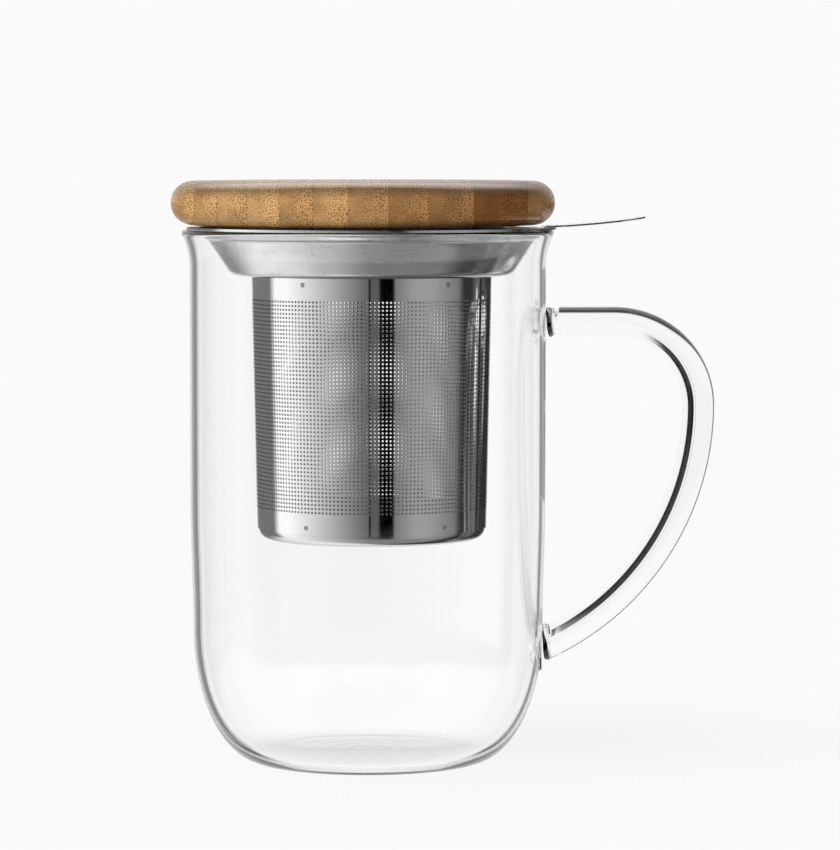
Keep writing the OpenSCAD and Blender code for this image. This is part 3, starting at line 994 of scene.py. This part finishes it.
def weld_group():
    """Geometry nodes: one weld, a raised ring round a shallow dome, set at evenly spaced turns."""
    group, t, given, out = new_shape_group(
        "weld_marks", ("Radius", "Height", "First Angle", "Step Angle", "Tilt", "Diameter", "Centre"),
        {"Count": "Int", "Material": "Material"})
    radius = given["Diameter"] * WELD_RING
    path = t.shape("CurvePrimitiveCircle", {"Resolution": 24, "Radius": radius})
    section = t.shape("CurvePrimitiveCircle", {
        "Resolution": 8, "Radius": given["Diameter"] * WELD_RING_SECTION})
    ring = t.shape("CurveToMesh", {"Curve": path, "Profile Curve": section})
    ball = t.shape("MeshUVSphere", {"Segments": 16, "Rings": 8, "Radius": radius})
    dome = t.shape("Transform", {"Geometry": ball, "Scale": (1.0, 1.0, WELD_DOME)})
    line = t.shape("MeshLine", {"Count": given["Count"], "Offset": (0.0, 0.0, 0.0)})
    turn = given["First Angle"] + t.shape("InputIndex") * given["Step Angle"]
    points = t.shape("SetPosition", {"Geometry": line, "Position": t.xyz(
        given["Centre"] + given["Radius"] * t.math("COSINE", turn),
        given["Radius"] * t.math("SINE", turn), given["Height"])})
    facing = t.get("FunctionNodeEulerToRotation", {0: t.xyz(0.0, given["Tilt"] + math.pi / 2, turn)})
    placed = t.shape("InstanceOnPoints", {
        "Points": points, "Instance": t.joined(ring, dome), "Rotation": facing})
    t.put(out[0], t.real(placed, given["Material"]))
    return group


class MUG_OT_welds(Operator):
    """Presses the spot welds that hold collar, sleeve, base and tab together"""
    bl_idname = "mug.welds"
    bl_label = "Spot welds"
    FROM_END = 1.5 * MM
    DOWN_FUNNEL = 3.3 * MM

    def execute(self, context):
        infuser = context.scene.mug_infuser
        material = steel_material("weld_steel", tone=0.5, roughness=0.3,
                                  lines=0.001 * MM, waves=0.02 * MM, wave_size=3 * MM)
        group = weld_group()
        taper = infuser.narrow / (sleeve_high.z - sleeve_low.z) * self.FROM_END
        ledge_r, ledge_z, slope = funnel_top()
        tab_turn = TabShape(infuser).root_turn
        outer_r = ledge_r - slope * self.DOWN_FUNNEL
        inner_r = outer_r - (infuser.collar_sheet + infuser.tab_sheet) * math.hypot(1, slope)
        tab_z = ledge_z - self.DOWN_FUNNEL
        round_sleeve = {"Count": infuser.welds, "First Angle": infuser.first_weld,
                        "Step Angle": 2 * math.pi / infuser.welds, "Tilt": 0.0}
        on_tab = {"Count": 2, "First Angle": -tab_turn / 2, "Step Angle": tab_turn,
                  "Tilt": math.atan(slope)}
        rings = [
            ("collar_weld_marks", "collar_spot_welds", round_sleeve,
             infuser.top_radius - taper, sleeve_high.z - self.FROM_END),
            ("base_weld_marks", "base_spot_welds", round_sleeve,
             infuser.top_radius - infuser.narrow + taper, sleeve_low.z + self.FROM_END),
            ("tab_weld_marks_inside", "tab_spot_welds", on_tab, inner_r, tab_z),
            ("tab_weld_marks_outside", "tab_spot_welds", on_tab, outer_r, tab_z),
        ]
        for name, node, turns, radius, height in rings:
            mesh = grown(name, group, {
                **turns, "Radius": radius, "Height": height, "Diameter": infuser.weld,
                "Centre": INFUSER_X, "Material": material})
            piece = finished(name, mesh, material, 60)
            place(piece, "infuser", "weld_steel", node)
        return {"FINISHED"}


# Bamboo ---------------------------------------------------------------------

# Dots of fibre on the end grain, in shares of the distance between two dots
DOT_SIZES = (0.09, 0.22)
DOT_VARIES = 0.10
DOT_SOFT = 0.06
FIBRE_TINT = (0.30, 0.19, 0.11)
GLUE_LINE = (0.02 * MM, 0.07 * MM)
GLUE_TONE = (0.10, 0.045, 0.02)


def bamboo_group():
    """Bamboo with its grain along Y: bundles of dark fibre, crowded towards one side of the strip."""
    group, tree, given, out = new_group(
        "bamboo", "Shader", {"Vector": "Vector", "Tone": "Color", **floats(
            "Low Side", "High Side", "Middle", "Half Height", "Shift", "Bundles")},
        {"Color": "Color", **floats("Roughness", "Height")})
    x, y, z = tree.split(given["Vector"])
    from_low = x - given["Low Side"]
    from_high = given["High Side"] - x
    share = from_low / (from_low + from_high)
    shifted = tree.xyz(x + given["Shift"], y, z + given["Shift"] * 1.7)
    # Each figure is stretched along the grain: features on a metre across it, along it and up.
    along = tree.vector("MULTIPLY", shifted, (1000.0, 22.0, 1000.0))
    sway = tree.noise(along, 0.3, 1.0)
    across, _, up_strip = tree.split(along)
    bundles = tree.all("ShaderNodeTexVoronoi", {
        "Vector": tree.xyz(across + sway * 0.8, up_strip), "Scale": given["Bundles"],
        "Randomness": 0.75}, voronoi_dimensions="2D")
    size = tree.between(share, 0.0, 0.9, *DOT_SIZES) + tree.split(bundles["Color"])[0] * DOT_VARIES
    dot = tree.between(size - bundles["Distance"], -DOT_SOFT, DOT_SOFT)
    streaks = tree.noise(tree.vector("MULTIPLY", shifted, (2600.0, 30.0, 2600.0)), 1.0, 3.0)
    cloud = tree.noise(tree.vector("MULTIPLY", shifted, (260.0, 12.0, 260.0)), 1.0, 2.0)
    up = (z - given["Middle"]) / given["Half Height"]
    # Streaks, cloud and the lighter crowded side are the bamboo's own tone; the two factors on up are painted
    # shade, darker towards the rounded top edge and towards the bottom edge.
    tone_and_painted_shade = (tree.between(streaks, 0.2, 0.8, 0.88, 1.10) * tree.between(cloud, 0.3, 0.7, 0.84, 1.14)
             * tree.between(share, 0.0, 1.0, 0.98, 1.28)
             * tree.between(up, 0.15, 0.75, 1.04, 0.46) * tree.between(up, -1.0, -0.45, 0.82, 1.0))
    pith = tree.tint(given["Tone"], tone_and_painted_shade)
    fibre = tree.tint(pith, FIBRE_TINT)
    wood = tree.mix(dot * 0.9, pith, fibre)
    glue = tree.between(tree.math("MINIMUM", from_low, from_high), *GLUE_LINE, 1.0, 0.0)
    tree.put(out["Color"], tree.mix(glue * 0.5, wood, GLUE_TONE))
    tree.put(out["Roughness"], dot * 0.12 + 0.4)
    tree.put(out["Height"], streaks * 0.4 - (dot * 0.5 + glue))
    return group


class MUG_OT_lid(Operator):
    """Colours the lid's bamboo strips"""
    bl_idname = "mug.lid"
    bl_label = "Bamboo lid"
    # Each strip's tone, from the darkest bamboo at 0 to the lightest at 1
    LIGHTNESS = (0.95, 0.82, 0.85, 1.0, 0.83, 0.96, 0.77, 0.45, 0.40, 0.0, 0.42)
    # How far the next strip's figure lies along, so that no two strips are alike
    SHIFT = 13.7 * MM

    def execute(self, context):
        lid = context.scene.mug_lid
        group = bamboo_group()
        for number, (name, lightness) in enumerate(zip(LID_STRIPS, self.LIGHTNESS), 1):
            low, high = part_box(name)
            tone = Vector(lid.dark).lerp(Vector(lid.light), lightness)
            material, tree = new_material(f"bamboo_{number:02d}")
            bamboo = tree.all("ShaderNodeGroup", {
                "Vector": tree.get("ShaderNodeTexCoord", output="Object"), "Tone": tuple(tone),
                "Low Side": low.x, "High Side": high.x, "Middle": lid_middle,
                "Half Height": high.z - lid_middle, "Shift": self.SHIFT * number,
                "Bundles": lid.bundles}, node_tree=group)
            bump = tree.get("ShaderNodeBump", {
                "Strength": 1.0, "Distance": 0.02 * MM, "Height": bamboo["Height"]})
            wood = tree.get("ShaderNodeBsdfPrincipled", {
                "Base Color": bamboo["Color"], "Roughness": bamboo["Roughness"],
                "Specular IOR Level": 0.04, "Coat Weight": 0.35, "Coat Roughness": 0.12, "Normal": bump})
            tree.add("ShaderNodeOutputMaterial", {"Surface": wood})
            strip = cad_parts[name].data
            strip.materials.clear()
            strip.materials.append(material)
        return {"FINISHED"}


# Studio ---------------------------------------------------------------------

DEGREES = 180 / math.pi
BLACK = (0.0, 0.0, 0.0)
DARK_GREY = (0.05, 0.05, 0.05)


class Surroundings:
    """What the camera, lit surfaces, steel and glass each see round the mug.

    Azimuth is in degrees from straight behind towards the handle, height in degrees above
    level, and across is the same as azimuth but starts again at each side."""
    SIDE = 68.0
    SIDE_DIMS = 0.65
    TABLE_EDGE = (-38.0, -20.0)
    CEILING_EDGE = (25.0, 45.0)
    LEFT_BOX = 1.36
    BOX_FADES = 1.3
    BACKDROP = 0.9

    def __init__(self, tree, white):
        self.tree, self.white = tree, white
        self.x, self.y, z = tree.split(tree.get("ShaderNodeTexCoord", output="Generated"))
        self.azimuth = tree.math("ARCTAN2", self.x, self.y) * DEGREES
        self.height = tree.math("ARCSINE", z) * DEGREES
        quarter = tree.math("ROUND", self.azimuth / 90.0)
        to_side = tree.math("ABSOLUTE", self.azimuth) > self.SIDE
        self.across = self.azimuth - quarter * to_side * 90.0
        self.dimmed = 1.0 - to_side * self.SIDE_DIMS
        in_front = tree.math("MAXIMUM", tree.between(self.azimuth, 62.0, 84.0),
                             tree.between(self.azimuth, -112.0, -86.0, 1.0, 0.0))
        self.in_front = in_front * tree.band(self.height, -15.0, 3.0, 3.0)
        self.path = tree.all("ShaderNodeLightPath")

    def left_box(self, brightest, tone, last):
        """A soft box on the left that fades towards straight in front."""
        share = self.tree.math("MINIMUM", (self.azimuth + 180.0) / (brightest + 180.0), 1.0)
        return self.tree.math("POWER", share, self.BOX_FADES) * (tone - last) + last

    def in_turn(self, tone, cards):
        """Cards from left to right: where each one begins, where it is full, and its tone."""
        for begins, full, card_tone in cards:
            tone = self.tree.between(self.azimuth, begins, full, tone, card_tone)
        return tone

    def steel(self):
        """Soft boxes and cards all round, the table below and a bright ceiling."""
        tree, azimuth = self.tree, self.azimuth
        right_box = tree.between(azimuth, 75.0, 130.0) * tree.between(azimuth, 132.0, 168.0, 0.25, 0.0)
        around = self.in_turn(self.left_box(-92.0, self.LEFT_BOX, 0.15), (
            (-76.0, -64.0, 0.22), (-22.0, -12.0, self.BACKDROP), (12.0, 22.0, 0.04),
            (80.0, 92.0, right_box + 0.2), (157.0, 160.0, 0.0), (171.5, 174.5, 0.14)))
        small_card = tree.band(azimuth, 52.0, 65.0, 6.0) * 0.14
        gap_in_front = 1.0 - tree.band(azimuth, -179.0, -177.0, 0.5)
        around = (around + small_card) * gap_in_front
        table = self.in_turn(self.left_box(-72.0, self.LEFT_BOX, 0.27), (
            (-90.0, -10.0, self.BACKDROP), (20.0, 41.0, 0.0), (82.0, 100.0, 0.27)))
        steel = tree.mix(tree.between(self.height, *self.TABLE_EDGE), table, around)
        return tree.mix(tree.between(self.height, *self.CEILING_EDGE), steel, (0.95, 0.95, 0.95))

    def in_infuser(self, steel):
        """Steel seen in steel is darker, a painted shade for the dim inside of the infuser, and the glass
        floor mirrors a pale room above.
        """
        again = self.path["Glossy Depth"] > 1.5
        # Painted shade: rays mirrored more than once in steel see the surroundings darker.
        painted_inner_shade = self.tree.mix(again * 0.6, steel, BLACK)
        return self.tree.mix(self.tree.between(self.height, 0.0, 6.0), painted_inner_shade, (0.45, 0.45, 0.45))

    def open_air(self, steel):
        """Sheen on wood and on open steel: dark but for a bright light up behind."""
        tree = self.tree
        overhead = tree.between(self.height, 18.0, 50.0, 0.9, 6.5)
        light_behind = (tree.band(self.x, -0.5, 0.5, 0.15) * tree.between(self.y, 0.16, 0.28)
                        * tree.between(self.height, -1.0, 1.0))
        return tree.mix(light_behind, tree.mix(0.2, steel, BLACK), tree.grey(overhead))

    def outer_glass(self):
        """Only low and nearly straight behind is it dark, so that edges get a thin line."""
        tree = self.tree
        low = tree.band(self.height, -16.0, 1.0, 3.0) * self.dimmed
        seen = tree.mix(tree.band(self.across, -22.0, 22.0, 3.0) * low * 0.2, self.white, DARK_GREY)
        return tree.mix(self.in_front, seen, BLACK)

    def inner_glass(self):
        """A dark card on each side."""
        tree = self.tree
        deep = tree.band(self.height, -35.0, 2.0, 3.0) * self.dimmed
        cards = tree.math("MAXIMUM", tree.band(self.across, -33.0, -14.0, 4.0),
                          tree.band(self.across, 18.0, 28.0, 2.5))
        seen = tree.mix(cards * deep, self.white, BLACK)
        return tree.mix(self.in_front, seen, BLACK)

    def through_handle(self):
        """A black card beside the view, a thin line inside it, and dark edges."""
        tree, across, height = self.tree, self.across, self.height
        far = tree.math("POWER", across * across + height * height, 0.5)
        clock = tree.math("ARCTAN2", height, across) * DEGREES
        beside_it = tree.band(clock, -66.0, 44.0, 12.0)
        seen = tree.mix(tree.band(far, 14.0, 30.0, 0.7) * beside_it * 0.98, self.white, BLACK)
        seen = tree.mix(tree.band(far, 9.5, 10.5, 0.5) * beside_it * 0.4, seen, DARK_GREY)

        # From straight down towards the left, the dark edge gets thinner.
        turned = tree.math("ARCTAN2", across * -1.0, height * -1.0) * DEGREES
        past = far - tree.between(turned, 15.0, 65.0, 21.0, 36.0)
        edge = tree.band(turned, -12.0, 150.0, 4.0) * tree.between(past, 0.0, 2.0)
        line = tree.band(turned, -12.0, 40.0, 4.0) * tree.band(past, -1.8, -1.0, 0.4)
        return tree.mix(tree.math("MAXIMUM", edge * 0.97, line * 0.5), seen, BLACK)

    def through_cup(self):
        """A narrow grey card to the left."""
        tree = self.tree
        card = tree.band(self.across, -21.0, -14.5, 1.5) * tree.band(self.height, -10.0, 2.0, 3.0) * 0.4
        return tree.mix(card, tree.tint(self.white, (1.07, 1.07, 1.07)), DARK_GREY)

    def colour(self):
        """Picks by the ray's path: how often it was mirrored, and how many faces of glass it crossed."""
        tree, path = self.tree, self.path
        crossed = path["Transmission Depth"]
        steel = self.steel()
        through = tree.mix(crossed > 2.5, self.through_handle(), self.through_cup())
        direct = tree.mix(path["Is Singular Ray"], self.open_air(steel), self.outer_glass())
        in_glass = tree.mix(crossed > 3.5, self.inner_glass(), self.in_infuser(steel))
        mirrored = tree.mix(crossed > 0.5, direct, in_glass)
        colour = tree.mix(path["Glossy Depth"] > 0.5, through, mirrored)
        soft = tree.between(self.x, -0.8, 0.8, 0.74, 0.44)
        colour = tree.mix(path["Diffuse Depth"] > 0.5, colour, tree.grey(soft))
        return tree.mix(path["Is Camera Ray"], colour, self.white)


def studio_world(studio):
    world = bpy.data.worlds.new("studio")
    world.use_nodes = True
    world.node_tree.nodes.clear()
    world.cycles.sampling_method = "NONE"
    tree = Tree(world.node_tree)
    seen = Surroundings(tree, tuple(studio.backdrop)).colour()
    light = tree.get("ShaderNodeBackground", {"Color": seen, "Strength": 1.0})
    tree.add("ShaderNodeOutputWorld", {"Surface": light})
    return world


def floor_material(studio):
    """A pale floor that keeps a faint shadow round the mug and fades into the backdrop."""
    material, tree = new_material("floor")
    far = tree.vector("LENGTH", tree.get("ShaderNodeTexCoord", output="Object"))
    plain = tree.get("ShaderNodeBsdfDiffuse", {"Color": (0.96, 0.96, 0.96)})
    glow = tree.get("ShaderNodeEmission", {"Color": tuple(studio.backdrop), "Strength": 1.0})
    seen = tree.get("ShaderNodeLightPath", output="Is Camera Ray")
    fade = seen * tree.between(far, 0.05, 0.17, 0.8, 1.0)
    mixed = tree.get("ShaderNodeMixShader", {0: fade, 1: plain, 2: glow})
    tree.add("ShaderNodeOutputMaterial", {"Surface": mixed})
    return material


class MUG_OT_stage(Operator):
    """Sets the floor, the studio light and the camera"""
    bl_idname = "mug.stage"
    bl_label = "Stage"
    FLOOR_Z = -0.05 * MM
    LIGHT_FROM = (-0.75, -0.55, 0.78)

    def execute(self, context):
        studio = context.scene.mug_studio
        scene = context.scene
        scene.view_settings.view_transform = "Standard"
        scene.world = studio_world(studio)

        vertices, faces = lathe([(0, self.FLOOR_Z), (studio.floor_radius, self.FLOOR_Z)], 96)
        floor = finished("floor", new_mesh("floor", vertices, faces), floor_material(studio))

        sun = bpy.data.lights.new("key_light", "SUN")
        sun.energy, sun.angle = studio.key_light, studio.key_size
        lamp = new_object("key_light", sun)
        lamp.rotation_euler = Vector(self.LIGHT_FROM).to_track_quat("Z", "Y").to_euler()
        for unseen in (floor, lamp):
            unseen.visible_glossy = False
            unseen.visible_transmission = False

        camera = new_object("camera", bpy.data.cameras.new("camera"))
        camera.data.lens = studio.lens
        camera.location = (0, -studio.camera_distance, studio.camera_height)
        camera.rotation_euler = (math.pi / 2 - studio.camera_down, 0, -studio.camera_turn)
        scene.camera = camera
        return {"FINISHED"}


# Add-on ---------------------------------------------------------------------

OPERATORS = (MUG_OT_glass, MUG_OT_sleeve, MUG_OT_collar, MUG_OT_base, MUG_OT_tab, MUG_OT_welds,
             MUG_OT_lid, MUG_OT_stage)
SETTINGS = {"mug_glass": GlassSettings, "mug_infuser": InfuserSettings,
            "mug_lid": LidSettings, "mug_studio": StudioSettings}


class VIEW3D_PT_tea_mug(Panel):
    """Lists the mug's pieces and settings"""
    bl_label = "Tea mug"
    bl_space_type = "VIEW_3D"
    bl_region_type = "UI"
    bl_category = "Tea mug"

    def draw(self, context):
        for operator in OPERATORS:
            self.layout.operator(operator.bl_idname)
        for name, settings in SETTINGS.items():
            box = self.layout.box()
            for key in settings.__annotations__:
                box.prop(getattr(context.scene, name), key)


def register():
    for cls in (*SETTINGS.values(), *OPERATORS, VIEW3D_PT_tea_mug):
        bpy.utils.register_class(cls)
    for name, settings in SETTINGS.items():
        setattr(bpy.types.Scene, name, PointerProperty(type=settings))


def unregister():
    for name in SETTINGS:
        delattr(bpy.types.Scene, name)
    for cls in (VIEW3D_PT_tea_mug, *reversed(OPERATORS), *reversed(SETTINGS.values())):
        bpy.utils.unregister_class(cls)


def main():
    register()
    bpy.ops.mug.glass()
    bpy.ops.mug.sleeve()
    bpy.ops.mug.collar()
    bpy.ops.mug.base()
    bpy.ops.mug.tab()
    bpy.ops.mug.welds()
    bpy.ops.mug.lid()
    bpy.ops.mug.stage()


if __name__ == "__main__":
    main()
